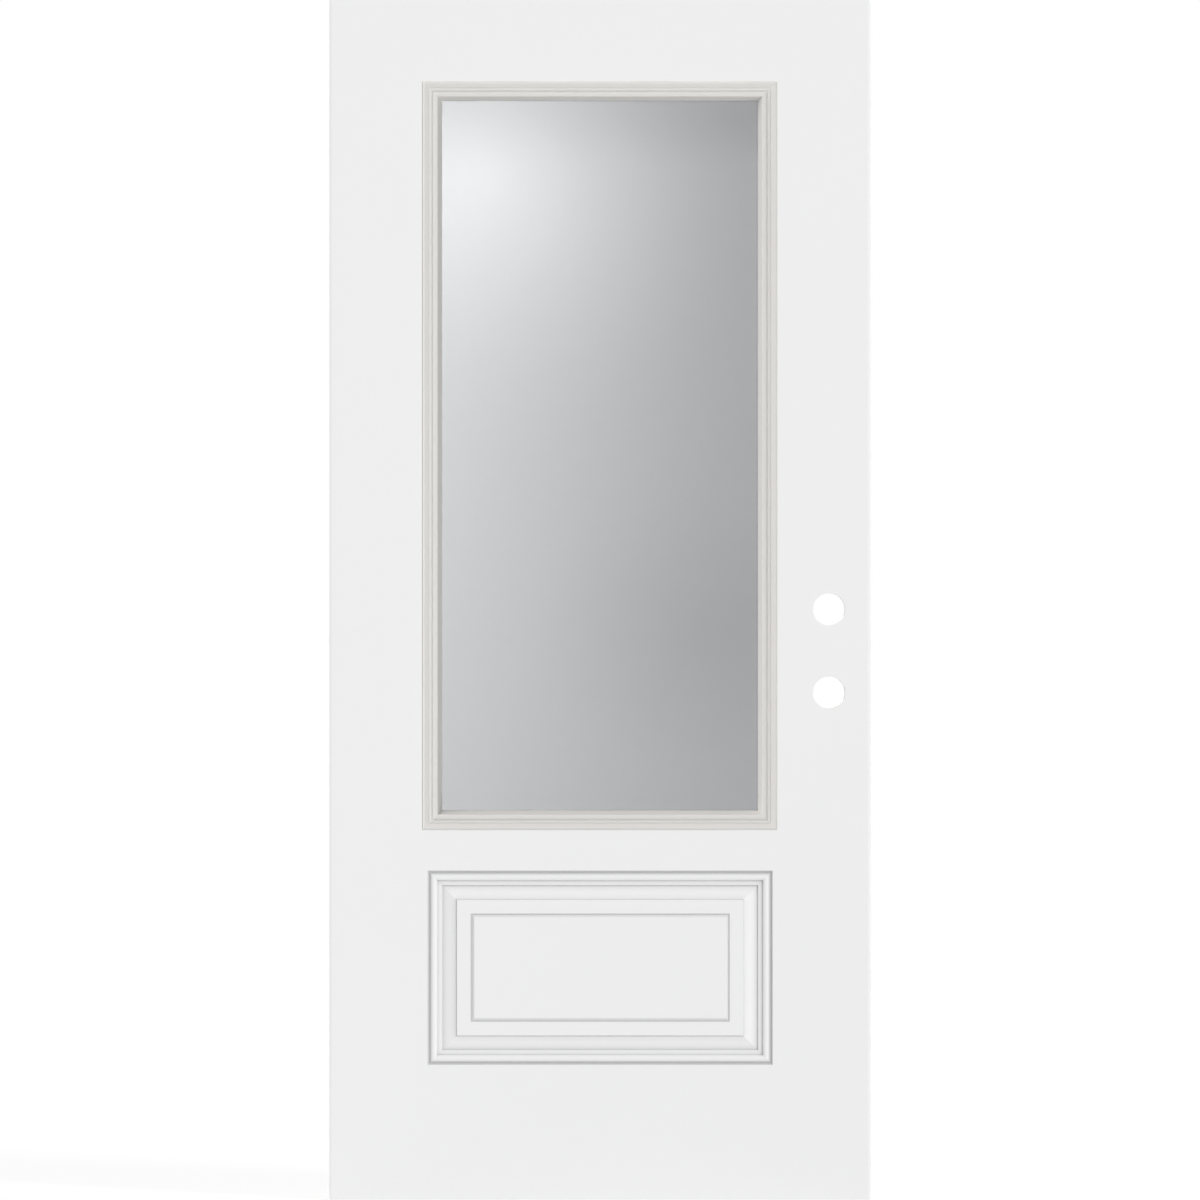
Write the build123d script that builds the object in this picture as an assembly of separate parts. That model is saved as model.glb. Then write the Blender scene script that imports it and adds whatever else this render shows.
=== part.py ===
from build123d import *
import os

os.makedirs("parts", exist_ok=True)

# Door leaf seen from outdoors: X runs from the hinge edge to the lock edge, Z runs up,
# and the outdoor face looks towards -Y. The hinge edge is the plane X = 0, and Y = 0 is
# the middle of the thickness. All sizes are in millimetres.
door_thickness = 44.45

# The leaf from its bottom up: rail below the panel, panel, rail above it, glass, head
foot_height = 229.8
panel_height = 319.6
middle_rail_height = 89.6
unit_height = 1219.2
head_height = 154.8

# The leaf from the hinge edge across: margin, glass, margin
unit_margin_width = 174.6
unit_width = 558.8
panel_margin_width = 167.7

# Moulded fiberglass skins
skin_thickness = 2.0
edge_ease_width = 5.0
edge_ease_depth = 0.8

# Wood and composite members round the foam core
stile_width = 38.0
top_rail_height = 40.0
bottom_rail_height = 45.0
lock_block_width = 100.0
lock_block_height = 406.0
kerf_width = 3.0
kerf_depth = 10.0
kerf_spacing = 24.0

# Section of the raised panel that is pressed into both skins, from its outer groove inward
outer_groove_half = 3.2
outer_groove_depth = 4.2
bead_width = 9.6
bead_start_depth = 1.2
bead_crown_depth = 0.2
bead_end_depth = 2.2
step_width = 2.0
ledge_width = 6.2
ledge_start_depth = 5.8
ledge_end_depth = 6.4
cove_width = 21.4
cove_start_depth = 9.6
cove_sag = 0.4
cove_end_depth = 4.8
border_width = 22.4
border_depth = 1.3
inner_groove_wall = 1.8
inner_groove_depth = 3.2
field_rise_width = 4.8

# Insulated glass unit
unit_thickness = 25.4
pane_thickness = 3.2
spacer_inset = 5.0
spacer_width = 7.0
glass_bite = 14.3
cutout_gap = 6.6

# Moulded frames that clamp the unit from both sides
frame_overlap = 11.3
frame_wall = 2.6
frame_web = 1.8
seal_thickness = 0.8
seal_inset = 1.2
tape_thickness = 1.6
tape_width = 10.3
tape_inset = 3.5

# Section of the frames, from the rim inward to the glass
rim_height = 2.2
rim_crown_at = 3.6
rim_crown_height = 4.4
rim_width = 9.6
rim_end_height = 3.6
quirk_width = 1.2
quirk_height = 3.1
small_bead_width = 4.0
small_bead_height = 4.4
small_bead_crown = 5.0
riser_foot_height = 4.0
riser_width = 1.6
land_height = 7.8
land_round = 1.2
land_crown = 0.5
stop_run = 7.0
stop_toe = 1.0
screw_land_width = 9.4
screw_land_height = 5.4

# Ribs behind the frames: one that centres them in the cut-out and one that closes the screw race
rib_gap = 0.8
rib_thickness = 1.3
rib_depth = 9.0
unit_gap = 0.2

# Caps over the screws of the indoor frame
plug_radius = 3.9
plug_clearance = 0.1
plug_depth = 1.9
plug_proud = 0.3
plug_count_up = 5
plug_count_across = 2
plug_end_distance = 90.0

# Rubber blocks that carry the unit
setting_block_length = 60.0
setting_block_width = 24.0

# Lock preparation: cross bores, latch bores and face plate seats
lock_bore_radius = 27.0
lock_bore_height = 851.0
lock_bore_spacing = 139.7
backset = 70.0
latch_bore_radius = 12.7
face_plate_height = 57.15
face_plate_width = 25.4
face_plate_depth = 3.5
face_plate_corner = 6.35
face_plate_hole_inset = 7.925

# Hinge preparation: three seats that run out at the indoor face
hinge_height = 101.6
hinge_depth = 3.2
hinge_backset = 6.35
hinge_corner = 15.9
hinge_from_top = 178.0
hinge_from_bottom = 254.0
near_hole_inset = 9.2
near_hole_end = 10.8
far_hole_inset = 27.2
far_hole_end = 28.8
pilot_radius = 1.6
pilot_depth = 30.0

# Places that follow from the sizes above
cut_margin = 1.0
face_y = door_thickness / 2
body_y = face_y - skin_thickness
door_width = unit_width + 2 * unit_margin_width
centre_x = door_width / 2
lock_stile_x = door_width - stile_width
unit_bottom = foot_height + panel_height + middle_rail_height
door_height = unit_bottom + unit_height + head_height
top_rail_z = door_height - top_rail_height
panel_width = door_width - 2 * panel_margin_width
panel_z = foot_height + panel_height / 2
unit_z = unit_bottom + unit_height / 2
cutout_width = unit_width + 2 * cutout_gap
cutout_height = unit_height + 2 * cutout_gap
frame_width = cutout_width + 2 * frame_overlap
frame_height = cutout_height + 2 * frame_overlap
glass_edge = frame_overlap + cutout_gap
sight_edge = glass_edge + glass_bite
pane_y = unit_thickness / 2
inner_pane_y = pane_y - pane_thickness
stop_level = pane_y + tape_thickness - face_y
screw_line = (frame_overlap + rib_gap + glass_edge - unit_gap) / 2
lock_bore_x = door_width - backset
lock_bore_levels = [lock_bore_height, lock_bore_height + lock_bore_spacing]
lock_block_z = lock_bore_height + lock_bore_spacing / 2
face_plate_holes = face_plate_height - 2 * face_plate_hole_inset
top_hinge_z = door_height - hinge_from_top - hinge_height / 2
bottom_hinge_z = hinge_from_bottom + hinge_height / 2
hinge_levels = [bottom_hinge_z, (bottom_hinge_z + top_hinge_z) / 2, top_hinge_z]


def block(x0, x1, y0, y1, z0, z1):
    """A box between two corners."""
    centre = ((x0 + x1) / 2, (y0 + y1) / 2, (z0 + z1) / 2)
    return Pos(*centre) * Box(x1 - x0, y1 - y0, z1 - z0)


def rod(x, y, z, radius, length, direction):
    """A cylinder that starts at a point and runs along a direction."""
    return extrude(Plane((x, y, z), z_dir=direction) * Circle(radius), length)


def indoor(shape):
    """The same shape on the indoor side."""
    return mirror(shape, about=Plane.XZ)


def outline(start, *steps):
    """A closed outline. Each step is its end point and, for an arc, a point on the way."""
    edges = []
    here = start
    for end, *way in steps:
        edges.append(ThreePointArc(here, way[0], end).edge() if way else Line(here, end).edge())
        here = end
    edges.append(Line(here, start).edge())
    return edges


def mitred_ring(section, width, height, z):
    """Carry a section round a rectangle on the outdoor face, with mitred corners.

    The section lies in (distance inward from the rectangle, height out of the face)."""
    right = centre_x + width / 2
    left = centre_x - width / 2
    top = z + height / 2
    bottom = z - height / 2
    corners = [(centre_x, bottom), (right, bottom), (right, top), (left, top), (left, bottom), (centre_x, bottom)]
    path = Wire(Polyline(*[(x, -face_y, level) for x, level in corners]).edges())
    plane = Plane(origin=(centre_x, -face_y, bottom), x_dir=(0, 0, 1), z_dir=(1, 0, 0))
    return sweep(plane * make_face(section), path=path, transition=Transition.RIGHT)


def flat_ring(width, height, inset, band, y0, y1):
    """A rectangular ring round the glass unit, inset from an outline, between two depths."""
    outer_w = width - 2 * inset
    outer_h = height - 2 * inset
    ring = Rectangle(outer_w, outer_h) - Rectangle(outer_w - 2 * band, outer_h - 2 * band)
    plane = Plane(origin=(centre_x, y0, unit_z), x_dir=(1, 0, 0), z_dir=(0, -1, 0))
    return extrude(plane * ring, y0 - y1)


# Raised panel

def panel_stations():
    """Where the members of the panel section begin and end, from the outer groove inward."""
    bead_start = outer_groove_half
    bead_end = bead_start + bead_width
    ledge_start = bead_end + step_width
    ledge_end = ledge_start + ledge_width
    cove_start = ledge_end + step_width
    cove_end = cove_start + cove_width
    border_start = cove_end + step_width
    border_end = border_start + border_width
    return bead_start, bead_end, ledge_start, ledge_end, cove_start, cove_end, border_start, border_end


def panel_front():
    """The space that the pressed section opens in front of the skin."""
    bead_start, bead_end, ledge_start, ledge_end, cove_start, cove_end, border_start, border_end = panel_stations()
    bead_middle = ((bead_start + bead_end) / 2, -bead_crown_depth)
    cove_middle = ((cove_start + cove_end) / 2, -(cove_start_depth + cove_end_depth) / 2 - cove_sag)
    groove = border_end + inner_groove_wall
    field = groove + field_rise_width
    return outline(
        (-outer_groove_half, cut_margin),
        ((-outer_groove_half, 0),),
        ((0, -outer_groove_depth),),
        ((bead_start, -bead_start_depth),),
        ((bead_end, -bead_end_depth), bead_middle),
        ((ledge_start, -ledge_start_depth),),
        ((ledge_end, -ledge_end_depth),),
        ((cove_start, -cove_start_depth),),
        ((cove_end, -cove_end_depth), cove_middle),
        ((border_start, -border_depth),),
        ((border_end, -border_depth),),
        ((groove, -inner_groove_depth),),
        ((field, 0),),
        ((field, cut_margin),),
    )


def panel_back():
    """What the pressed section adds behind the flat back of the skin."""
    bead_start, bead_end, ledge_start, ledge_end, cove_start, cove_end, border_start, border_end = panel_stations()
    t = skin_thickness
    groove = border_end + inner_groove_wall
    return outline(
        (-outer_groove_half - t, -t),
        ((-t / 2, -outer_groove_depth - t),),
        ((t / 2, -outer_groove_depth - t),),
        ((bead_start + t, -bead_start_depth - t),),
        ((bead_end - t, -bead_end_depth - t),),
        ((ledge_start - t, -ledge_start_depth - t),),
        ((ledge_end - t, -ledge_end_depth - t),),
        ((cove_start - t, -cove_start_depth - t),),
        ((cove_start + t, -cove_start_depth - t),),
        ((cove_end + t, -cove_end_depth - t),),
        ((border_start + t, -border_depth - t),),
        ((border_end - t / 2, -border_depth - t),),
        ((groove - t / 2, -inner_groove_depth - t),),
        ((groove + t / 2, -inner_groove_depth - t),),
        ((groove + field_rise_width + t, -t),),
    )


def pressed_back():
    return mitred_ring(panel_back(), panel_width, panel_height, panel_z)


def skin():
    """The outdoor skin: a flat sheet with eased long edges and the pressed panel."""
    ease_y = -face_y + edge_ease_depth
    left_ease = TangentArc((edge_ease_width, -face_y), (0, ease_y), tangent=(-1, 0))
    right_ease = TangentArc((door_width - edge_ease_width, -face_y), (door_width, ease_y), tangent=(1, 0))
    front = Line(left_ease @ 0, right_ease @ 0)
    back = Polyline((0, ease_y), (0, -body_y), (door_width, -body_y), (door_width, ease_y))
    plan = make_face([left_ease.edge(), right_ease.edge(), front.edge(), *back.edges()])
    sheet = extrude(plan, door_height, dir=(0, 0, 1)) + pressed_back()
    sheet -= mitred_ring(panel_front(), panel_width, panel_height, panel_z)
    return sheet - cutout_space() - lock_bores()


# Spaces cut through more than one member

def cutout_space():
    half_x = cutout_width / 2
    half_z = cutout_height / 2
    reach = face_y + cut_margin
    return block(centre_x - half_x, centre_x + half_x, -reach, reach, unit_z - half_z, unit_z + half_z)


def lock_bores():
    reach = face_y + cut_margin
    return Part() + [rod(lock_bore_x, -reach, z, lock_bore_radius, 2 * reach, (0, 1, 0)) for z in lock_bore_levels]


def latch_bores():
    return Part() + [rod(lock_bore_x, 0, z, latch_bore_radius, backset, (1, 0, 0)) for z in lock_bore_levels]


def face_plate_seats():
    """Rounded seats for the latch face plates, with their two screw holes."""
    seat = RectangleRounded(face_plate_width, face_plate_height, face_plate_corner)
    tools = []
    for z in lock_bore_levels:
        floor = Plane(origin=(door_width - face_plate_depth, 0, z), x_dir=(0, 1, 0), z_dir=(1, 0, 0))
        tools.append(extrude(floor * seat, face_plate_depth + cut_margin))
        for side in (-1, 1):
            level = z + side * face_plate_holes / 2
            tools.append(rod(door_width, 0, level, pilot_radius, pilot_depth, (-1, 0, 0)))
    return Part() + tools


def hinge_seats():
    """Seats for the hinge leaves, open at the indoor face."""
    start = hinge_backset - face_y
    end = face_y + hinge_corner + cut_margin
    seat = RectangleRounded(end - start, hinge_height, hinge_corner)
    tools = []
    for z in hinge_levels:
        plane = Plane(origin=(-cut_margin, (start + end) / 2, z), x_dir=(0, 1, 0), z_dir=(1, 0, 0))
        tools.append(extrude(plane * seat, hinge_depth + cut_margin))
    return Part() + tools


def hinge_pilots():
    """Screw holes of a hinge leaf: two near the indoor face and two further in."""
    tools = []
    for z in hinge_levels:
        for inset, end in ((near_hole_inset, near_hole_end), (far_hole_inset, far_hole_end)):
            for side in (-1, 1):
                level = z + side * (hinge_height / 2 - end)
                tools.append(rod(0, face_y - inset, level, pilot_radius, pilot_depth, (1, 0, 0)))
    return Part() + tools


def sweep_kerfs():
    """Two slots along the bottom edge that take the fins of a door sweep."""
    tools = []
    for side in (-1, 1):
        y = side * kerf_spacing / 2
        tools.append(block(-cut_margin, door_width + cut_margin, y - kerf_width / 2, y + kerf_width / 2,
                           -cut_margin, kerf_depth))
    return Part() + tools


# Members between the skins

def hinge_stile():
    stile = block(0, stile_width, -body_y, body_y, 0, door_height)
    return stile - hinge_seats() - hinge_pilots() - sweep_kerfs()


def lock_stile():
    stile = block(lock_stile_x, door_width, -body_y, body_y, 0, door_height)
    return stile - latch_bores() - face_plate_seats() - sweep_kerfs()


def lock_block_space():
    half = lock_block_height / 2
    return block(lock_stile_x - lock_block_width, lock_stile_x, -body_y, body_y,
                 lock_block_z - half, lock_block_z + half)


def lock_block():
    return lock_block_space() - lock_bores() - latch_bores()


def top_rail():
    return block(stile_width, lock_stile_x, -body_y, body_y, top_rail_z, door_height)


def bottom_rail():
    return block(stile_width, lock_stile_x, -body_y, body_y, 0, bottom_rail_height) - sweep_kerfs()


def foam_core():
    core = block(stile_width, lock_stile_x, -body_y, body_y, bottom_rail_height, top_rail_z)
    pressed = pressed_back()
    return core - lock_block_space() - cutout_space() - pressed - indoor(pressed)


# Glass unit

def pane(y0, y1):
    half_x = unit_width / 2
    return block(centre_x - half_x, centre_x + half_x, y0, y1, unit_bottom, unit_bottom + unit_height)


def pane_spacer():
    return flat_ring(unit_width, unit_height, spacer_inset, spacer_width, inner_pane_y, -inner_pane_y)


def pane_edge_seal():
    return flat_ring(unit_width, unit_height, 0, spacer_inset, inner_pane_y, -inner_pane_y)


def glazing_tape():
    """Foam tape between the outdoor pane and the stop of its frame."""
    return flat_ring(unit_width, unit_height, tape_inset, tape_width, -pane_y, -pane_y - tape_thickness)


def setting_blocks():
    """Two rubber blocks under the unit, at the quarter points of its width."""
    half_y = setting_block_width / 2
    blocks = []
    for side in (-1, 1):
        x = centre_x + side * unit_width / 4
        blocks.append(block(x - setting_block_length / 2, x + setting_block_length / 2,
                            -half_y, half_y, unit_bottom - cutout_gap, unit_bottom))
    return Compound(blocks)


# Glazing frames

def frame_back():
    """The hollow back of the frame section, from the sight edge round to the rim."""
    wall = frame_wall
    rib_start = frame_overlap + rib_gap
    race_end = glass_edge - unit_gap
    lean = stop_run / (land_height - stop_level)
    roof = land_height - wall
    foot_start = glass_edge + tape_inset
    floor = seal_thickness + frame_web
    return [
        ((sight_edge, stop_level),),
        ((foot_start, stop_level),),
        ((foot_start, stop_level + wall),),
        ((sight_edge - lean * wall - wall, stop_level + wall),),
        ((sight_edge - stop_run + lean * wall - wall, roof),),
        ((race_end + wall + riser_width, roof),),
        ((race_end + wall, floor),),
        ((race_end, floor),),
        ((race_end, -rib_depth),),
        ((race_end - rib_thickness, -rib_depth),),
        ((race_end - rib_thickness, floor),),
        ((rib_start + rib_thickness, floor),),
        ((rib_start + rib_thickness, -rib_depth),),
        ((rib_start, -rib_depth),),
        ((rib_start, seal_thickness),),
    ]


def rim_steps():
    """The rounded rim and its slope."""
    return [
        ((0, rim_height),),
        ((rim_crown_at, rim_crown_height), (rim_crown_at * 0.35, rim_crown_height * 0.85)),
        ((rim_width, rim_end_height),),
    ]


def land_steps(start):
    """The flat land next to the glass and the sloped stop."""
    land_end = sight_edge - stop_run
    return [
        ((start, land_height - land_crown),),
        ((land_end - land_round, land_height),),
        ((land_end, land_height - land_crown),),
        ((sight_edge, stop_level + stop_toe),),
    ]


def outdoor_section():
    """Rim, quirk, small bead, quirk, riser, land and stop."""
    bead_start = rim_width + 2 * quirk_width
    bead_end = bead_start + small_bead_width
    riser_start = bead_end + quirk_width
    riser_end = riser_start + riser_width
    return outline(
        (0, seal_thickness),
        *rim_steps(),
        ((rim_width + quirk_width, quirk_height),),
        ((bead_start, small_bead_height),),
        ((bead_end, small_bead_height), ((bead_start + bead_end) / 2, small_bead_crown)),
        ((riser_start, riser_foot_height),),
        ((riser_end, land_height - 2 * land_crown),),
        *land_steps(riser_end + land_round),
        *frame_back(),
    )


def indoor_section():
    """Rim, wide land for the screws, riser, land and stop."""
    screw_land_start = screw_line - screw_land_width / 2
    screw_land_end = screw_line + screw_land_width / 2
    return outline(
        (0, seal_thickness),
        *rim_steps()[:-1],
        ((screw_land_start - riser_width, rim_end_height),),
        ((screw_land_start, screw_land_height),),
        ((screw_land_end, screw_land_height),),
        *land_steps(screw_land_end + riser_width),
        *frame_back(),
    )


def plug_places():
    """Centres of the caps round the unit, as pairs of X and Z."""
    half_x = frame_width / 2 - screw_line
    half_z = frame_height / 2 - screw_line
    places = []
    for index in range(plug_count_up):
        z = unit_z + (half_z - plug_end_distance) * (2 * index / (plug_count_up - 1) - 1)
        places += [(centre_x - half_x, z), (centre_x + half_x, z)]
    for index in range(plug_count_across):
        x = centre_x + (half_x - plug_end_distance) * (2 * index / (plug_count_across - 1) - 1)
        places += [(x, unit_z - half_z), (x, unit_z + half_z)]
    return places


def plug_rods(radius, top):
    """Upright discs at every cap, from the floor of its seat to a height over the screw land."""
    floor = face_y + screw_land_height - plug_depth
    return [rod(x, floor, z, radius, plug_depth + top, (0, 1, 0)) for x, z in plug_places()]


def exterior_lite_frame():
    return mitred_ring(outdoor_section(), frame_width, frame_height, unit_z)


def interior_lite_frame():
    frame = indoor(mitred_ring(indoor_section(), frame_width, frame_height, unit_z))
    return frame - plug_rods(plug_radius + plug_clearance, cut_margin)


def screw_plugs():
    """Caps over the screws that draw the two frames together."""
    return Compound(plug_rods(plug_radius, plug_proud))


def frame_seal():
    """Foam tape between the flange of the frame and the skin."""
    band = frame_overlap - 2 * seal_inset
    return flat_ring(frame_width, frame_height, seal_inset, band, -face_y, -face_y - seal_thickness)


outdoor_skin = skin()

nodes = {
    "exterior_skin": outdoor_skin,
    "interior_skin": indoor(outdoor_skin) - hinge_seats(),
    "hinge_stile": hinge_stile(),
    "lock_stile": lock_stile(),
    "lock_block": lock_block(),
    "top_rail": top_rail(),
    "bottom_rail": bottom_rail(),
    "foam_core": foam_core(),
    "exterior_lite_frame": exterior_lite_frame(),
    "interior_lite_frame": interior_lite_frame(),
    "exterior_pane": pane(-pane_y, -inner_pane_y),
    "interior_pane": pane(inner_pane_y, pane_y),
    "pane_spacer": pane_spacer(),
    "pane_edge_seal": pane_edge_seal(),
    "exterior_glazing_tape": glazing_tape(),
    "interior_glazing_tape": indoor(glazing_tape()),
    "exterior_frame_seal": frame_seal(),
    "interior_frame_seal": indoor(frame_seal()),
    "screw_plugs": screw_plugs(),
    "setting_blocks": setting_blocks(),
}

for name, shape in nodes.items():
    export_step(shape, f"parts/{name}.step")
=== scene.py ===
import bpy
import math
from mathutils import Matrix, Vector


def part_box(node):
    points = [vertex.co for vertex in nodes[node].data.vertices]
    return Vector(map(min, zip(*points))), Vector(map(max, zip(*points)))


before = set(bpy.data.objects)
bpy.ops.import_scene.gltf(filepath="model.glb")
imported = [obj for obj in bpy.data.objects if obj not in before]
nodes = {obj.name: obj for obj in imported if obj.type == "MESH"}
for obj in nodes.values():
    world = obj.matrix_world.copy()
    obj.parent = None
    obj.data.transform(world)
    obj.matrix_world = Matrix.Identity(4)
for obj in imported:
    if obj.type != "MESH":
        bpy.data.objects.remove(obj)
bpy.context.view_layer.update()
leafLow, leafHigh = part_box("exterior_skin")
leafCentre = Vector(((leafLow.x + leafHigh.x) / 2, 0, (leafLow.z + leafHigh.z) / 2))
leafHeight = leafHigh.z - leafLow.z
print("frame loaded:", len(nodes), "nodes")


# node helpers

def addNode(tree, kind, values=None, **settings):
    node = tree.nodes.new(kind)
    for name, value in settings.items():
        setattr(node, name, value)
    for socket, value in (values or {}).items():
        node.inputs[socket].default_value = value
    return node


def newMaterial(name):
    material = bpy.data.materials.new(name)
    material.use_nodes = True
    tree = material.node_tree
    tree.nodes.clear()
    output = addNode(tree, "ShaderNodeOutputMaterial")
    shader = addNode(tree, "ShaderNodeBsdfPrincipled")
    tree.links.new(shader.outputs["BSDF"], output.inputs["Surface"])
    return material, tree, shader


def objectCoords(tree, scale=(1, 1, 1), rotation=(0, 0, 0)):
    coords = addNode(tree, "ShaderNodeTexCoord")
    mapping = addNode(tree, "ShaderNodeMapping", {"Scale": scale, "Rotation": rotation})
    tree.links.new(coords.outputs["Object"], mapping.inputs["Vector"])
    return mapping.outputs["Vector"]


def newGroup(name, inputs, outputs):
    group = bpy.data.node_groups.new(name, "ShaderNodeTree")
    for label, kind, value in inputs:
        socket = group.interface.new_socket(label, in_out="INPUT", socket_type=kind)
        socket.default_value = value
    for label, kind in outputs:
        group.interface.new_socket(label, in_out="OUTPUT", socket_type=kind)
    return group, addNode(group, "NodeGroupInput"), addNode(group, "NodeGroupOutput")


def addBump(tree, height, strength, distance, shader):
    bump = addNode(tree, "ShaderNodeBump", {"Strength": strength, "Distance": distance})
    tree.links.new(height, bump.inputs["Height"])
    tree.links.new(bump.outputs["Normal"], shader.inputs["Normal"])


# shared effect: a moulded or sprayed face, with a faint drift of tone, a slow swell and a fine pebble
# that bends the light and spreads the roughness. Scales are per metre

mouldedFace = {"driftScale": 3.0, "swellScale": 45.0, "pebbleScale": 420.0, "swellShare": 0.7,
               "roughSpread": 0.12}


def makeMouldedGroup(face):
    group, start, end = newGroup(
        "mouldedSurface",
        [("Vector", "NodeSocketVector", (0, 0, 0)), ("Color", "NodeSocketColor", (1, 1, 1, 1)),
         ("Drift", "NodeSocketFloat", 0.02), ("Roughness", "NodeSocketFloat", 0.4)],
        [("Color", "NodeSocketColor"), ("Roughness", "NodeSocketFloat"), ("Height", "NodeSocketFloat")])
    drift = addNode(group, "ShaderNodeTexNoise",
                    {"Scale": face["driftScale"], "Detail": 2.0, "Roughness": 0.5})
    pebble = addNode(group, "ShaderNodeTexNoise",
                     {"Scale": face["pebbleScale"], "Detail": 3.0, "Roughness": 0.55})
    swell = addNode(group, "ShaderNodeTexNoise", {"Scale": face["swellScale"], "Detail": 1.0})
    for texture in (drift, pebble, swell):
        group.links.new(start.outputs["Vector"], texture.inputs["Vector"])
    centred = addNode(group, "ShaderNodeMath", {1: 0.5}, operation="SUBTRACT")
    scaled = addNode(group, "ShaderNodeMath", operation="MULTIPLY")
    level = addNode(group, "ShaderNodeMath", {1: 1.0}, operation="ADD")
    group.links.new(drift.outputs["Fac"], centred.inputs[0])
    group.links.new(centred.outputs[0], scaled.inputs[0])
    group.links.new(start.outputs["Drift"], scaled.inputs[1])
    group.links.new(scaled.outputs[0], level.inputs[0])
    tint = addNode(group, "ShaderNodeVectorMath", operation="SCALE")
    group.links.new(start.outputs["Color"], tint.inputs[0])
    group.links.new(level.outputs[0], tint.inputs["Scale"])
    group.links.new(tint.outputs[0], end.inputs["Color"])
    spread = face["roughSpread"]
    rough = addNode(group, "ShaderNodeMath", {1: spread, 2: -spread / 2}, operation="MULTIPLY_ADD")
    group.links.new(pebble.outputs["Fac"], rough.inputs[0])
    total = addNode(group, "ShaderNodeMath", operation="ADD")
    group.links.new(rough.outputs[0], total.inputs[0])
    group.links.new(start.outputs["Roughness"], total.inputs[1])
    group.links.new(total.outputs[0], end.inputs["Roughness"])
    height = addNode(group, "ShaderNodeMath", {1: face["swellShare"]}, operation="MULTIPLY_ADD")
    group.links.new(swell.outputs["Fac"], height.inputs[0])
    group.links.new(pebble.outputs["Fac"], height.inputs[2])
    group.links.new(height.outputs[0], end.inputs["Height"])
    return group


mouldedGroup = makeMouldedGroup(mouldedFace)


# shared effect: painted shade where a surface is shut in by its own walls, darkening its colour in grooves,
# bores and hollows. Its share of open air runs from 1 on a flat face down to fullAt, where the painted
# shade is at its full amount

paintedCreviceShade = {"samples": 8, "fullAt": 0.5, "falloffPower": 0.7}


def makeCreviceShadeGroup(paintedShade):
    group, start, end = newGroup(
        "paintedCreviceShade",
        [("Color", "NodeSocketColor", (1, 1, 1, 1)), ("Reach", "NodeSocketFloat", 0.01),
         ("Amount", "NodeSocketFloat", 0.3)],
        [("Color", "NodeSocketColor")])
    # ambient occlusion darkens the colour here: painted shade in the crevices
    shut = addNode(group, "ShaderNodeAmbientOcclusion", samples=paintedShade["samples"], only_local=True)
    group.links.new(start.outputs["Reach"], shut.inputs["Distance"])
    shadedShare = addNode(group, "ShaderNodeMapRange", {"From Min": 1.0, "From Max": paintedShade["fullAt"]})
    group.links.new(shut.outputs["AO"], shadedShare.inputs["Value"])
    curvedShade = addNode(group, "ShaderNodeMath", {1: paintedShade["falloffPower"]}, operation="POWER")
    group.links.new(shadedShare.outputs["Result"], curvedShade.inputs[0])
    shadeDepth = addNode(group, "ShaderNodeMath", operation="MULTIPLY")
    group.links.new(curvedShade.outputs[0], shadeDepth.inputs[0])
    group.links.new(start.outputs["Amount"], shadeDepth.inputs[1])
    kept = addNode(group, "ShaderNodeMath", {0: 1.0}, operation="SUBTRACT")
    group.links.new(shadeDepth.outputs[0], kept.inputs[1])
    tint = addNode(group, "ShaderNodeVectorMath", operation="SCALE")
    group.links.new(start.outputs["Color"], tint.inputs[0])
    group.links.new(kept.outputs[0], tint.inputs["Scale"])
    group.links.new(tint.outputs[0], end.inputs["Color"])
    return group


creviceShadeGroup = makeCreviceShadeGroup(paintedCreviceShade)


def addRamp(tree, mask, colors, ends=(0, 1)):
    ramp = addNode(tree, "ShaderNodeValToRGB")
    for element, color, place in zip(ramp.color_ramp.elements, colors, ends):
        element.position = place
        element.color = (*color, 1)
    tree.links.new(mask, ramp.inputs["Fac"])
    return ramp.outputs["Color"]


# darkens a material's colour where it is shut in: painted shade in its grooves and hollows
def addPaintedShade(tree, color, finish, shader):
    paintedShade = addNode(tree, "ShaderNodeGroup", {"Reach": finish["shadeReach"], "Amount": finish["paintedShade"]},
                   node_tree=creviceShadeGroup)
    tree.links.new(color, paintedShade.inputs["Color"])
    tree.links.new(paintedShade.outputs["Color"], shader.inputs["Base Color"])


def makeMoulded(name, finish):
    material, tree, shader = newMaterial(name)
    effect = addNode(tree, "ShaderNodeGroup", node_tree=mouldedGroup)
    effect.inputs["Color"].default_value = (*finish["color"], 1)
    effect.inputs["Drift"].default_value = finish["drift"]
    effect.inputs["Roughness"].default_value = finish["roughness"]
    tree.links.new(objectCoords(tree), effect.inputs["Vector"])
    addPaintedShade(tree, effect.outputs["Color"], finish, shader)
    tree.links.new(effect.outputs["Roughness"], shader.inputs["Roughness"])
    shader.inputs["Specular IOR Level"].default_value = finish["specular"]
    addBump(tree, effect.outputs["Height"], finish["bump"], finish["bumpDepth"], shader)
    return material


# white skins

# the skin's crevice darkening is painted shade along the grooves of its moulded panel
doorSkin = {"color": (0.845, 0.845, 0.847), "drift": 0.012, "roughness": 0.5, "specular": 0.3,
            "bump": 0.08, "bumpDepth": 0.0003, "paintedShade": 0.35, "shadeReach": 0.012}
skinMaterial = makeMoulded("doorSkin", doorSkin)

# warm grey glazing frames and the caps on the indoor one

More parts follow.
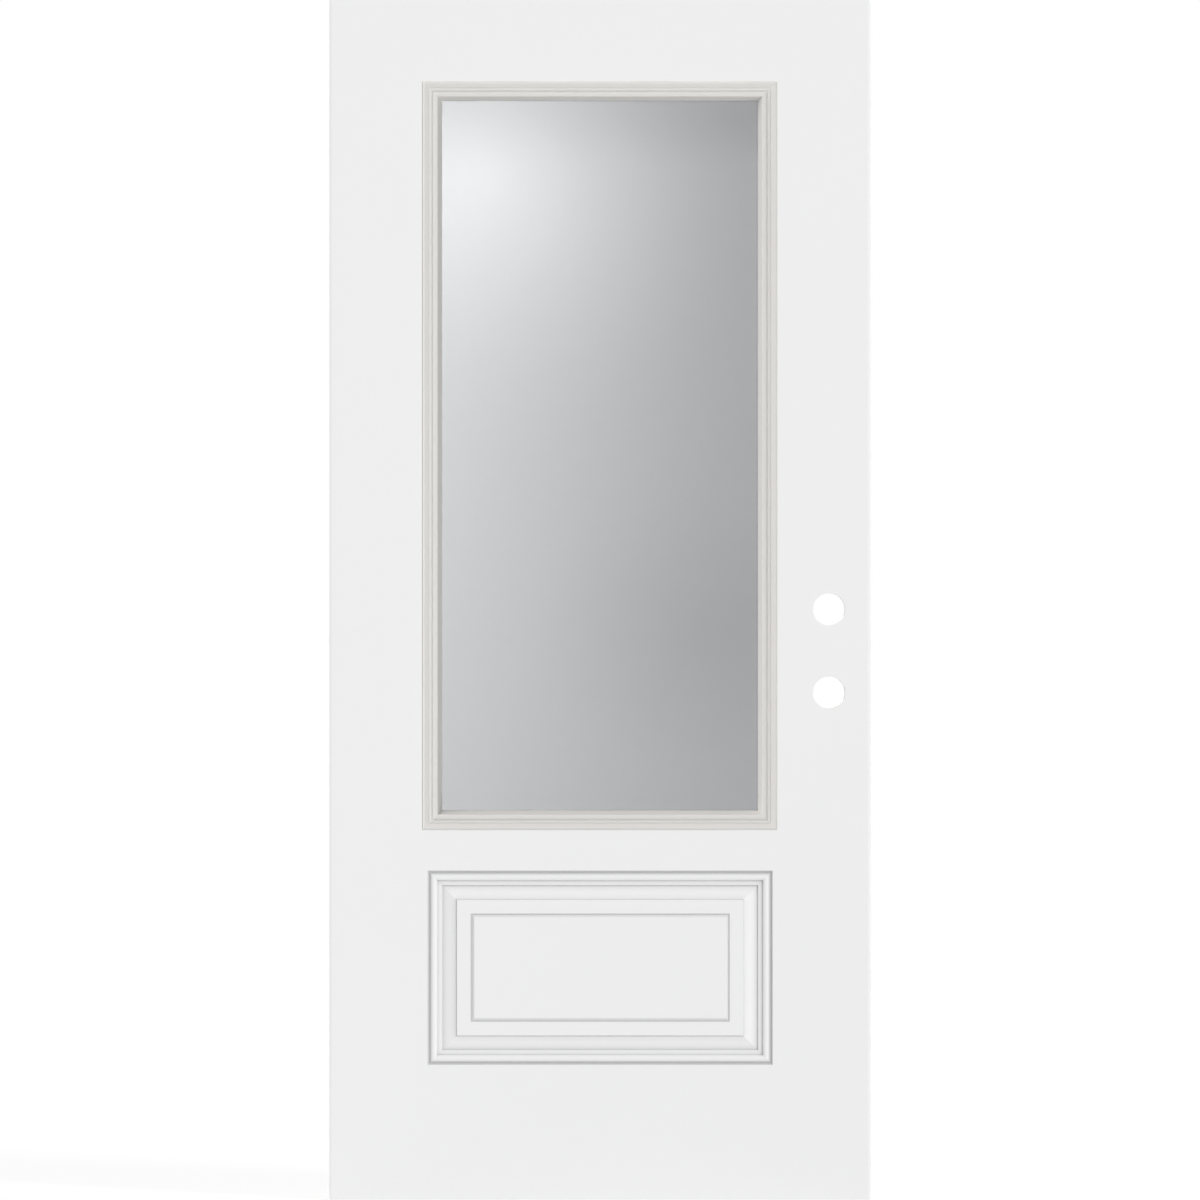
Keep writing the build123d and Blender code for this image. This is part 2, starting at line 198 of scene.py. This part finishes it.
# the frames' and caps' crevice darkening is painted shade in their quirks and round the caps
glazingFrame = {"color": (0.66, 0.644, 0.621), "drift": 0.02, "roughness": 0.42, "specular": 0.35,
                "bump": 0.1, "bumpDepth": 0.0002, "paintedShade": 0.03, "shadeReach": 0.006}
frameMaterial = makeMoulded("glazingFrame", glazingFrame)
screwCap = {"color": (0.75, 0.735, 0.71), "drift": 0.03, "roughness": 0.36, "specular": 0.4,
            "bump": 0.06, "bumpDepth": 0.0002, "paintedShade": 0.1, "shadeReach": 0.004}
capMaterial = makeMoulded("screwCap", screwCap)


# laminated wood on the edges

# the wood's crevice darkening is painted shade in its bores, gains and cuts
edgeWood = {"light": (0.66, 0.49, 0.30), "dark": (0.45, 0.29, 0.15), "rampEnds": (0.35, 0.85),
            "grainScale": 260.0, "grainStretch": 0.035, "ply": 0.0084, "plyStretch": 0.04, "plyShare": 0.35,
            "roughness": 0.55, "bump": 0.25, "bumpDepth": 0.0003, "paintedShade": 0.55, "shadeReach": 0.03}
bandStep = 0.314  # a wave texture of scale 1 repeats after this length


def makeWood(name, wood):
    material, tree, shader = newMaterial(name)
    fibres = addNode(tree, "ShaderNodeTexNoise",
                     {"Scale": wood["grainScale"], "Detail": 5.0, "Roughness": 0.6})
    tree.links.new(objectCoords(tree, scale=(1, 1, wood["grainStretch"])), fibres.inputs["Vector"])
    plies = addNode(tree, "ShaderNodeTexWave",
                    {"Scale": bandStep / wood["ply"], "Distortion": 0.6, "Detail": 1.0},
                    wave_type="BANDS", bands_direction="X", wave_profile="SIN")
    tree.links.new(objectCoords(tree, scale=(1, 1, wood["plyStretch"])), plies.inputs["Vector"])
    mixed = addNode(tree, "ShaderNodeMath", {1: wood["plyShare"]}, operation="MULTIPLY_ADD")
    tree.links.new(plies.outputs["Fac"], mixed.inputs[0])
    tree.links.new(fibres.outputs["Fac"], mixed.inputs[2])
    color = addRamp(tree, mixed.outputs[0], (wood["dark"], wood["light"]), wood["rampEnds"])
    addPaintedShade(tree, color, wood, shader)
    shader.inputs["Roughness"].default_value = wood["roughness"]
    addBump(tree, fibres.outputs["Fac"], wood["bump"], wood["bumpDepth"], shader)
    return material


woodMaterial = makeWood("edgeWood", edgeWood)


# speckled solids: composite rails, foam, rubber and tape

speckle = {"cloudShare": 0.3, "rampEnds": (0.1, 0.5), "bumpDepth": 0.0004}


def makeSpeckled(name, finish):
    material, tree, shader = newMaterial(name)
    specks = addNode(tree, "ShaderNodeTexVoronoi", {"Scale": finish["speckScale"]})
    cloud = addNode(tree, "ShaderNodeTexNoise", {"Scale": finish["speckScale"] * speckle["cloudShare"],
                                                 "Detail": 4.0})
    coords = objectCoords(tree, scale=finish["stretch"])
    tree.links.new(coords, specks.inputs["Vector"])
    tree.links.new(coords, cloud.inputs["Vector"])
    blend = addNode(tree, "ShaderNodeMath", operation="MULTIPLY")
    tree.links.new(specks.outputs["Distance"], blend.inputs[0])
    tree.links.new(cloud.outputs["Fac"], blend.inputs[1])
    color = addRamp(tree, blend.outputs[0], (finish["dark"], finish["light"]), speckle["rampEnds"])
    tree.links.new(color, shader.inputs["Base Color"])
    shader.inputs["Roughness"].default_value = finish["roughness"]
    addBump(tree, specks.outputs["Distance"], finish["bump"], speckle["bumpDepth"], shader)
    return material


railComposite = {"light": (0.50, 0.43, 0.34), "dark": (0.30, 0.25, 0.19), "speckScale": 500.0,
                 "stretch": (0.3, 1, 1), "roughness": 0.7, "bump": 0.2}
coreFoam = {"light": (0.85, 0.78, 0.55), "dark": (0.66, 0.58, 0.36), "speckScale": 900.0,
            "stretch": (1, 1, 1), "roughness": 0.9, "bump": 0.5}
blackRubber = {"light": (0.055, 0.055, 0.057), "dark": (0.025, 0.025, 0.026), "speckScale": 700.0,
               "stretch": (1, 1, 1), "roughness": 0.75, "bump": 0.15}
foamTape = {"light": (0.72, 0.71, 0.69), "dark": (0.55, 0.54, 0.52), "speckScale": 1100.0,
            "stretch": (1, 1, 1), "roughness": 0.85, "bump": 0.3}
railMaterial = makeSpeckled("railComposite", railComposite)
foamMaterial = makeSpeckled("coreFoam", coreFoam)
rubberMaterial = makeSpeckled("blackRubber", blackRubber)
tapeMaterial = makeSpeckled("foamTape", foamTape)


# drawn aluminium of the spacer

spacerBar = {"color": (0.62, 0.63, 0.64), "roughness": 0.35, "roughSpread": 0.08, "lineScale": 900.0,
             "lineStretch": 0.05, "bump": 0.1, "bumpDepth": 0.0002}


def makeSpacer(name, finish):
    material, tree, shader = newMaterial(name)
    lines = addNode(tree, "ShaderNodeTexNoise", {"Scale": finish["lineScale"], "Detail": 2.0})
    stretch = finish["lineStretch"]
    tree.links.new(objectCoords(tree, scale=(stretch, 1, stretch)), lines.inputs["Vector"])
    rough = addNode(tree, "ShaderNodeMapRange", {"To Min": finish["roughness"] - finish["roughSpread"],
                                                 "To Max": finish["roughness"] + finish["roughSpread"]})
    tree.links.new(lines.outputs["Fac"], rough.inputs["Value"])
    tree.links.new(rough.outputs["Result"], shader.inputs["Roughness"])
    shader.inputs["Base Color"].default_value = (*finish["color"], 1)
    shader.inputs["Metallic"].default_value = 1.0
    addBump(tree, lines.outputs["Fac"], finish["bump"], finish["bumpDepth"], shader)
    return material


spacerMaterial = makeSpacer("spacerBar", spacerBar)

# tinted panes, with a rough coat that spreads the reflection of the cards

paneGlass = {"color": (0.505, 0.5095, 0.514), "colorSpread": 0.02, "cloudScale": 1.4, "ior": 1.5,
             "sheen": 1.0, "sheenRoughness": 0.12}


def makeGlass(name, glass):
    material, tree, shader = newMaterial(name)
    cloud = addNode(tree, "ShaderNodeTexNoise", {"Scale": glass["cloudScale"], "Detail": 1.0})
    tree.links.new(objectCoords(tree), cloud.inputs["Vector"])
    spread = glass["colorSpread"]
    tints = [[channel * share for channel in glass["color"]] for share in (1 - spread, 1 + spread)]
    tree.links.new(addRamp(tree, cloud.outputs["Fac"], tints), shader.inputs["Base Color"])
    shader.inputs["Roughness"].default_value = 0.0
    shader.inputs["Transmission Weight"].default_value = 1.0
    shader.inputs["IOR"].default_value = glass["ior"]
    shader.inputs["Coat Weight"].default_value = glass["sheen"]
    shader.inputs["Coat Roughness"].default_value = glass["sheenRoughness"]
    return material


glassMaterial = makeGlass("paneGlass", paneGlass)
print("materials made")

finishes = {
    "exterior_skin": skinMaterial, "interior_skin": skinMaterial,
    "hinge_stile": woodMaterial, "lock_stile": woodMaterial, "lock_block": woodMaterial,
    "top_rail": railMaterial, "bottom_rail": railMaterial, "foam_core": foamMaterial,
    "exterior_lite_frame": frameMaterial, "interior_lite_frame": frameMaterial,
    "exterior_pane": glassMaterial, "interior_pane": glassMaterial,
    "pane_spacer": spacerMaterial, "pane_edge_seal": rubberMaterial, "setting_blocks": rubberMaterial,
    "exterior_glazing_tape": tapeMaterial, "interior_glazing_tape": tapeMaterial,
    "exterior_frame_seal": tapeMaterial, "interior_frame_seal": tapeMaterial,
    "screw_plugs": capMaterial,
}
for name, material in finishes.items():
    mesh = nodes[name].data
    mesh.materials.clear()
    mesh.materials.append(material)
print("finishes placed on", len(finishes), "nodes")


# light path switch: camera, glossy and transmission rays

def seenRay(tree):
    path = addNode(tree, "ShaderNodeLightPath")
    first = addNode(tree, "ShaderNodeMath", operation="MAXIMUM")
    second = addNode(tree, "ShaderNodeMath", operation="MAXIMUM")
    tree.links.new(path.outputs["Is Camera Ray"], first.inputs[0])
    tree.links.new(path.outputs["Is Glossy Ray"], first.inputs[1])
    tree.links.new(first.outputs[0], second.inputs[0])
    tree.links.new(path.outputs["Is Transmission Ray"], second.inputs[1])
    return second.outputs[0]


# studio: world, floor, lamps and camera

photoView = {"lens": 600.0, "sensor": 36.0, "reach": 200.0}
studio = {"worldLevel": 0.48, "floorSize": 30.0, "floorGlow": 0.74, "floorColor": 0.35, "floorBounce": 0.8}
cameraDistance = leafHeight * photoView["lens"] / photoView["sensor"]  # the leaf fills the picture's height


def makeWorld():
    world = bpy.data.worlds.new("studioWorld")
    world.use_nodes = True
    tree = world.node_tree
    tree.nodes.clear()
    output = addNode(tree, "ShaderNodeOutputWorld")
    lit = addNode(tree, "ShaderNodeBackground", {"Color": (1, 1, 1, 1), "Strength": studio["worldLevel"]})
    seen = addNode(tree, "ShaderNodeBackground", {"Color": (1, 1, 1, 1), "Strength": 1.0})
    mix = addNode(tree, "ShaderNodeMixShader")
    tree.links.new(seenRay(tree), mix.inputs[0])
    tree.links.new(lit.outputs[0], mix.inputs[1])
    tree.links.new(seen.outputs[0], mix.inputs[2])
    tree.links.new(mix.outputs[0], output.inputs["Surface"])
    bpy.context.scene.world = world


def makeFloor():
    bpy.ops.mesh.primitive_plane_add(size=studio["floorSize"], location=(leafCentre.x, 0, 0))
    floor = bpy.context.object
    floor.name = "studioFloor"
    material = bpy.data.materials.new("studioFloor")
    material.use_nodes = True
    tree = material.node_tree
    tree.nodes.clear()
    output = addNode(tree, "ShaderNodeOutputMaterial")
    bounce = studio["floorBounce"]
    level = studio["floorColor"]
    lit = addNode(tree, "ShaderNodeBsdfDiffuse", {"Color": (bounce, bounce, bounce, 1)})
    shade = addNode(tree, "ShaderNodeBsdfDiffuse", {"Color": (level, level, level, 1)})
    glow = addNode(tree, "ShaderNodeEmission", {"Color": (1, 1, 1, 1), "Strength": studio["floorGlow"]})
    seen = addNode(tree, "ShaderNodeAddShader")
    mix = addNode(tree, "ShaderNodeMixShader")
    tree.links.new(shade.outputs[0], seen.inputs[0])
    tree.links.new(glow.outputs[0], seen.inputs[1])
    tree.links.new(seenRay(tree), mix.inputs[0])
    tree.links.new(lit.outputs[0], mix.inputs[1])
    tree.links.new(seen.outputs[0], mix.inputs[2])
    tree.links.new(mix.outputs[0], output.inputs["Surface"])
    floor.data.materials.append(material)
    return floor


def linkedGroup(name, members, state):
    group = bpy.data.collections.new(name)
    for member in members:
        group.objects.link(member)
    for member in group.collection_objects:
        member.light_linking.link_state = state
    return group


def lightNodes(holder, names, state):
    group = linkedGroup(holder.name + "Targets", [nodes[name] for name in names], state)
    holder.light_linking.receiver_collection = group


def addSun(name, sun):
    lamp = bpy.data.lights.new(name, "SUN")
    lamp.energy = sun["strength"]
    lamp.angle = math.radians(sun["softness"])
    holder = bpy.data.objects.new(name, lamp)
    bpy.context.scene.collection.objects.link(holder)
    holder.rotation_euler = Vector(sun["towards"]).to_track_quat("Z", "Y").to_euler()
    return holder


# directions point from the door to the lamp, and a strength of pi is full light on a face turned to it
keySun = {"towards": (0.554, -1.0, 0.25), "strength": 1.72, "softness": 12.0}
frameSun = {"towards": (-0.95, -0.62, 0.85), "strength": 2.5, "softness": 70.0}
frameFill = {"towards": (0.8, -0.5, -0.8), "strength": 1.4, "softness": 70.0}
rearSun = {"towards": (-0.45, 1.0, 0.35), "strength": 1.72, "softness": 12.0}
liteFrames = ["exterior_lite_frame", "interior_lite_frame", "screw_plugs"]
panes = ["exterior_pane", "interior_pane"]

# a large soft card before the glass on each side, brightest up on the left as seen from outdoors. Places
# are on the glass, in metres from its centre, and levels are the light that the card adds there
glassCard = {"distance": 4.0, "size": (1.6, 3.2), "rise": 0.24, "color": (0.98, 1.0, 1.02), "gain": 12.3,
             "level": 0.071, "levelStart": 0.474, "levelEnd": 0.562,
             "side": 0.285, "sideHalf": 0.265, "sidePower": 1.31, "lean": 0.56,
             "brightSpot": {"level": 0.285, "place": (-0.19, 0.47), "reach": (0.51, 0.45), "power": 2.0},
             "dimSpot": {"level": -0.055, "place": (0.17, -0.3), "reach": (0.3, 0.23), "power": 1.0},
             "topStart": 0.538, "topEnd": 0.658, "topLevel": 0.75}


def placeOnGlass(tree, card, paneCentre):
    # the point of the glass, from its centre, where the camera sees this point of the card
    spread = 1 + card["distance"] / cameraDistance
    here = addNode(tree, "ShaderNodeNewGeometry")
    rise = leafCentre.z - paneCentre.z
    moved = addNode(tree, "ShaderNodeVectorMath", {1: leafCentre}, operation="SUBTRACT")
    onGlass = addNode(tree, "ShaderNodeVectorMath", {"Scale": 1 / spread}, operation="SCALE")
    fromPane = addNode(tree, "ShaderNodeVectorMath", {1: (0, 0, rise)}, operation="ADD")
    tree.links.new(here.outputs["Position"], moved.inputs[0])
    tree.links.new(moved.outputs[0], onGlass.inputs[0])
    tree.links.new(onGlass.outputs[0], fromPane.inputs[0])
    return fromPane.outputs[0]


def sideGlow(tree, card, axes):
    edge = card["sideHalf"]
    across = addNode(tree, "ShaderNodeMapRange", {"From Min": edge, "From Max": -edge})
    curve = addNode(tree, "ShaderNodeMath", {1: card["sidePower"]}, operation="POWER")
    lean = addNode(tree, "ShaderNodeMath", {1: card["lean"] * card["side"], 2: card["side"]},
                   operation="MULTIPLY_ADD")
    glow = addNode(tree, "ShaderNodeMath", operation="MULTIPLY")
    tree.links.new(axes.outputs["X"], across.inputs["Value"])
    tree.links.new(across.outputs["Result"], curve.inputs[0])
    tree.links.new(axes.outputs["Z"], lean.inputs[0])
    tree.links.new(curve.outputs[0], glow.inputs[0])
    tree.links.new(lean.outputs[0], glow.inputs[1])
    return glow.outputs[0]


def addSpot(tree, spot, place, glow):
    spotX, spotZ = spot["place"]
    reachX, reachZ = spot["reach"]
    fromSpot = addNode(tree, "ShaderNodeVectorMath", {1: (spotX, 0, spotZ)}, operation="SUBTRACT")
    squeezed = addNode(tree, "ShaderNodeVectorMath", {1: (1 / reachX, 0, 1 / reachZ)}, operation="MULTIPLY")
    radius = addNode(tree, "ShaderNodeVectorMath", operation="LENGTH")
    fade = addNode(tree, "ShaderNodeMath", {0: 1.0}, operation="SUBTRACT", use_clamp=True)
    curve = addNode(tree, "ShaderNodeMath", {1: spot["power"]}, operation="POWER")
    total = addNode(tree, "ShaderNodeMath", {1: spot["level"]}, operation="MULTIPLY_ADD")
    tree.links.new(place, fromSpot.inputs[0])
    tree.links.new(fromSpot.outputs[0], squeezed.inputs[0])
    tree.links.new(squeezed.outputs[0], radius.inputs[0])
    tree.links.new(radius.outputs["Value"], fade.inputs[1])
    tree.links.new(fade.outputs[0], curve.inputs[0])
    tree.links.new(curve.outputs[0], total.inputs[0])
    tree.links.new(glow, total.inputs[2])
    return total.outputs[0]


def topFade(tree, axes, start, end, low, high):
    fade = addNode(tree, "ShaderNodeMapRange",
                   {"From Min": start, "From Max": end, "To Min": low, "To Max": high},
                   interpolation_type="SMOOTHSTEP")
    tree.links.new(axes.outputs["Z"], fade.inputs["Value"])
    return fade.outputs["Result"]


def addGlassCard(name, card, side, share):
    low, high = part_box("exterior_pane" if side < 0 else "interior_pane")
    lamp = bpy.data.lights.new(name, "AREA")
    lamp.shape = "RECTANGLE"
    lamp.size, lamp.size_y = card["size"]
    lamp.energy = math.pi * lamp.size * lamp.size_y
    lamp.use_nodes = True
    tree = lamp.node_tree
    glow = tree.nodes["Emission"]
    glow.inputs["Color"].default_value = (*card["color"], 1)
    place = placeOnGlass(tree, card, (low + high) / 2)
    axes = addNode(tree, "ShaderNodeSeparateXYZ")
    tree.links.new(place, axes.inputs[0])
    withBright = addSpot(tree, card["brightSpot"], place, sideGlow(tree, card, axes))
    withBoth = addSpot(tree, card["dimSpot"], place, withBright)
    spotFade = topFade(tree, axes, card["topStart"], card["topEnd"], 1.0, card["topLevel"])
    evenGlow = topFade(tree, axes, card["levelStart"], card["levelEnd"], card["level"], 0.0)
    total = addNode(tree, "ShaderNodeMath", operation="MULTIPLY_ADD")
    tree.links.new(withBoth, total.inputs[0])
    tree.links.new(spotFade, total.inputs[1])
    tree.links.new(evenGlow, total.inputs[2])
    strength = addNode(tree, "ShaderNodeMath", {1: card["gain"] * share}, operation="MULTIPLY")
    tree.links.new(total.outputs[0], strength.inputs[0])
    tree.links.new(strength.outputs[0], glow.inputs["Strength"])
    holder = bpy.data.objects.new(name, lamp)
    bpy.context.scene.collection.objects.link(holder)
    holder.location = (leafCentre.x, side * card["distance"], leafCentre.z + card["rise"])
    holder.rotation_euler = (math.radians(-90 * side), 0, 0)
    holder.visible_camera = False
    holder.visible_transmission = False
    return holder


makeWorld()
floor = makeFloor()
lightNodes(addSun("keySun", keySun), liteFrames + panes, "EXCLUDE")
lightNodes(addSun("rearSun", rearSun), panes, "EXCLUDE")

# the frame's own lamps stay off the indoor one, where they would only graze and leave it blotchy
lightNodes(addSun("frameSun", frameSun), ["exterior_lite_frame"], "INCLUDE")
fillLamp = addSun("frameFill", frameFill)
lightNodes(fillLamp, ["exterior_lite_frame"], "INCLUDE")
fillLamp.light_linking.blocker_collection = linkedGroup("frameFillOpen", [floor], "EXCLUDE")
lightNodes(addGlassCard("glassCard", glassCard, -1, 1.0), ["exterior_pane"], "INCLUDE")
lightNodes(addGlassCard("rearGlassCard", glassCard, 1, 0.6), ["interior_pane"], "INCLUDE")
print("studio lit")


def makeCamera():
    camera = bpy.data.cameras.new("photoCamera")
    camera.lens = photoView["lens"]
    camera.sensor_width = photoView["sensor"]
    camera.clip_end = photoView["reach"]
    holder = bpy.data.objects.new("photoCamera", camera)
    bpy.context.scene.collection.objects.link(holder)
    holder.location = (leafCentre.x, leafLow.y - cameraDistance, leafCentre.z)
    holder.rotation_euler = (math.radians(90), 0, 0)
    bpy.context.scene.camera = holder


makeCamera()
bpy.context.scene.view_settings.view_transform = "Standard"
print("camera set")
